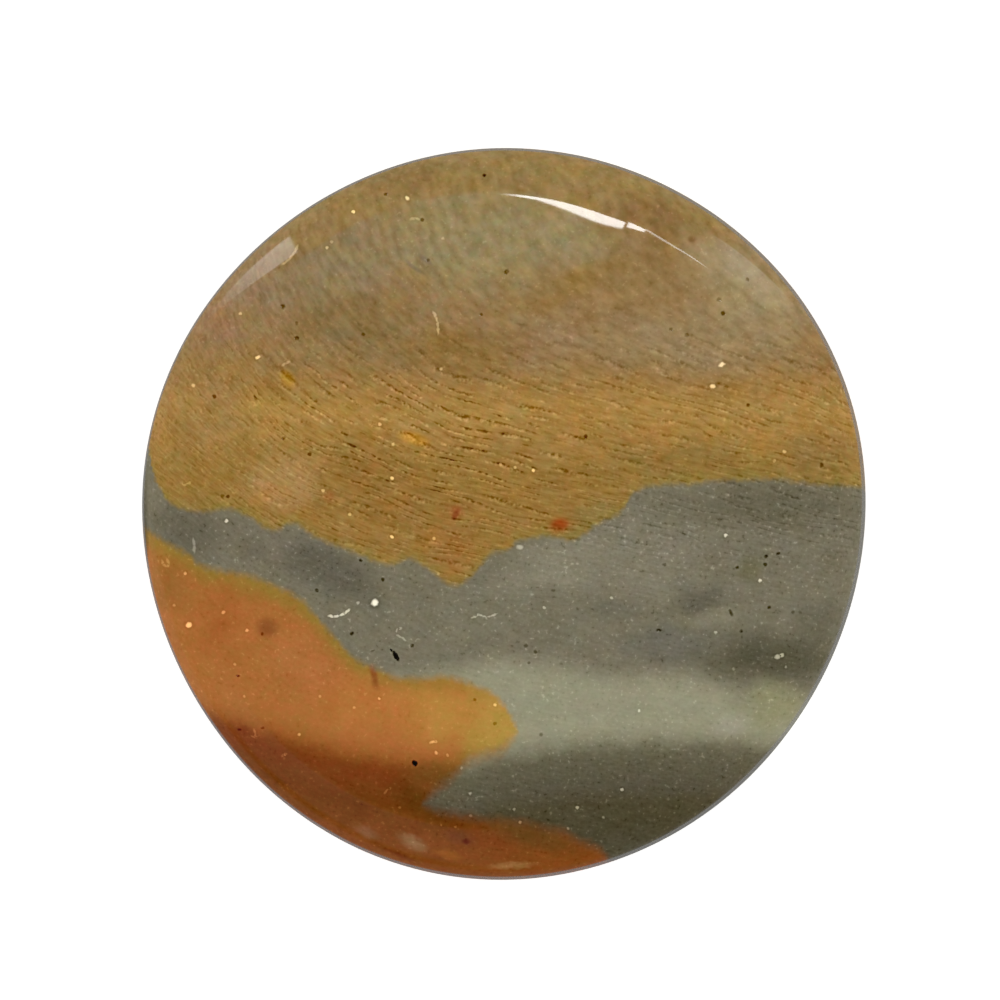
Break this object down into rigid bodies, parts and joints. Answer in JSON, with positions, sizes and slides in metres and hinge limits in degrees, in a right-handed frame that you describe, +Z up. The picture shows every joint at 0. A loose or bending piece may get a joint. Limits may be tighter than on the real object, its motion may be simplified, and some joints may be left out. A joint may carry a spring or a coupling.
{
  "type": "polygram jasper cabochon",
  "caption": "Round polished jasper cabochon with a flat back, a rounded shoulder and a low dome, in ochre, grey and orange.",
  "frame": {"origin": "middle of the flat back that the stone rests on", "axes": "+Z up through the dome, out of the polished top; +Y towards the ochre side, +X to the right seen from above"},
  "size_m": [0.0358, 0.0362, 0.0055],
  "materials": {
    "jasper": "polished"
  },
  "bodies": {
    "root": {"cabochon": "jasper"}
  },
  "joints": []
}
